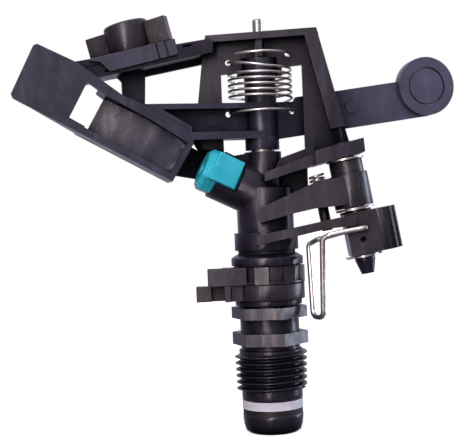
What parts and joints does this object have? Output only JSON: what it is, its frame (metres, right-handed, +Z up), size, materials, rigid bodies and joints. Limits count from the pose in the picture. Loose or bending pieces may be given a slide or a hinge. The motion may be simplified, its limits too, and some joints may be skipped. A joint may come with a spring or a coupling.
{
  "type": "impact sprinkler",
  "caption": "Plastic part-circle impact sprinkler with swinging arm, angled nozzle, trip collars, wire bail and a male threaded swivel inlet.",
  "frame": {"origin": "centre of the water inlet at the lower end of the bearing tube", "axes": "+Z up the turning axis; the jet leaves towards -X and up; -Y is the side with the open face of the arm"},
  "size_m": [0.1294, 0.0295, 0.1189],
  "materials": {
    "black_plastic": "semi-gloss moulded",
    "nozzle_plastic": "semi-gloss moulded",
    "white_washer": "satin",
    "rubber": "matt",
    "steel": "satin",
    "spring_steel": "drawn wire"
  },
  "bodies": {
    "base": {"bearing_nipple": "black_plastic", "thrust_washer_white": "white_washer"},
    "lower_collar": {"lower_collar": "black_plastic"},
    "upper_collar": {"upper_collar": "black_plastic"},
    "head": {"sprinkler_body": "black_plastic", "bearing_tube": "black_plastic", "thrust_washer_rubber": "rubber", "bearing_spring": "spring_steel", "dust_seal": "rubber", "nozzle": "nozzle_plastic", "fulcrum_pin": "steel", "pin_washer": "steel", "deflector_carrier": "black_plastic", "trip_spindle": "black_plastic", "trip_top_washer": "steel", "trip_middle_washer": "steel", "trip_retaining_clip": "steel"},
    "arm": {"impact_arm": "black_plastic", "arm_spring": "spring_steel", "weight_slug": "steel", "weight_cap": "black_plastic"},
    "knob": {"deflector_knob": "black_plastic"},
    "paddle": {"deflector_paddle": "black_plastic"},
    "reversing_lever": {"reversing_lever": "black_plastic"},
    "trip_lever": {"trip_lever": "black_plastic", "over_centre_spring": "spring_steel"},
    "bail": {"trip_bail": "spring_steel"}
  },
  "joints": [
    {"name": "head_turn", "type": "hinge", "parent": "base", "child": "head", "pos_m": [0, 0, 0.0486], "axis": [0, 0, 1], "range_deg": [-86, 178]},
    {"name": "lower_collar_turn", "type": "hinge", "parent": "base", "child": "lower_collar", "pos_m": [0, 0, 0.0401], "axis": [0, 0, 1], "range_deg": [-180, 85]},
    {"name": "upper_collar_turn", "type": "hinge", "parent": "base", "child": "upper_collar", "pos_m": [0, 0, 0.045], "axis": [0, 0, 1], "range_deg": [-180, 85]},
    {"name": "arm_swing", "type": "hinge", "parent": "head", "child": "arm", "pos_m": [0, 0, 0.094], "axis": [0, 0, 1], "range_deg": [0, 110], "stiffness_Nm_per_rad": 0.01, "springref_deg": -28.65, "deforming": ["arm_spring"]},
    {"name": "knob_turn", "type": "hinge", "parent": "head", "child": "knob", "pos_m": [-0.03609, 0.003, 0.1095], "axis": [-0.2317, 0, 0.9728], "range_deg": [0, 90]},
    {"name": "paddle_lift", "type": "slide", "parent": "head", "child": "paddle", "axis": [-0.2317, 0, 0.9728], "range_m": [-0.0031, 0]},
    {"name": "trip_turn", "type": "hinge", "parent": "head", "child": "trip_lever", "pos_m": [0.0232, -0.01151, 0.0622], "axis": [-0.1583, 0.0365, 0.9867], "range_deg": [0, 25]},
    {"name": "reversing_turn", "type": "hinge", "parent": "head", "child": "reversing_lever", "pos_m": [0.0232, -0.01151, 0.0622], "axis": [-0.1583, 0.0365, 0.9867], "range_deg": [0, 15.1]},
    {"name": "bail_flip", "type": "hinge", "parent": "trip_lever", "child": "bail", "pos_m": [0.02525, -0.01199, 0.0573], "axis": [-0.225, -0.9744, 0], "range_deg": [0, 90]}
  ],
  "couplings": [
    {"joint": "paddle_lift", "follows": "knob_turn", "m_per_rad": -0.0019099},
    {"joint": "reversing_turn", "follows": "trip_turn", "ratio": 0.6}
  ]
}
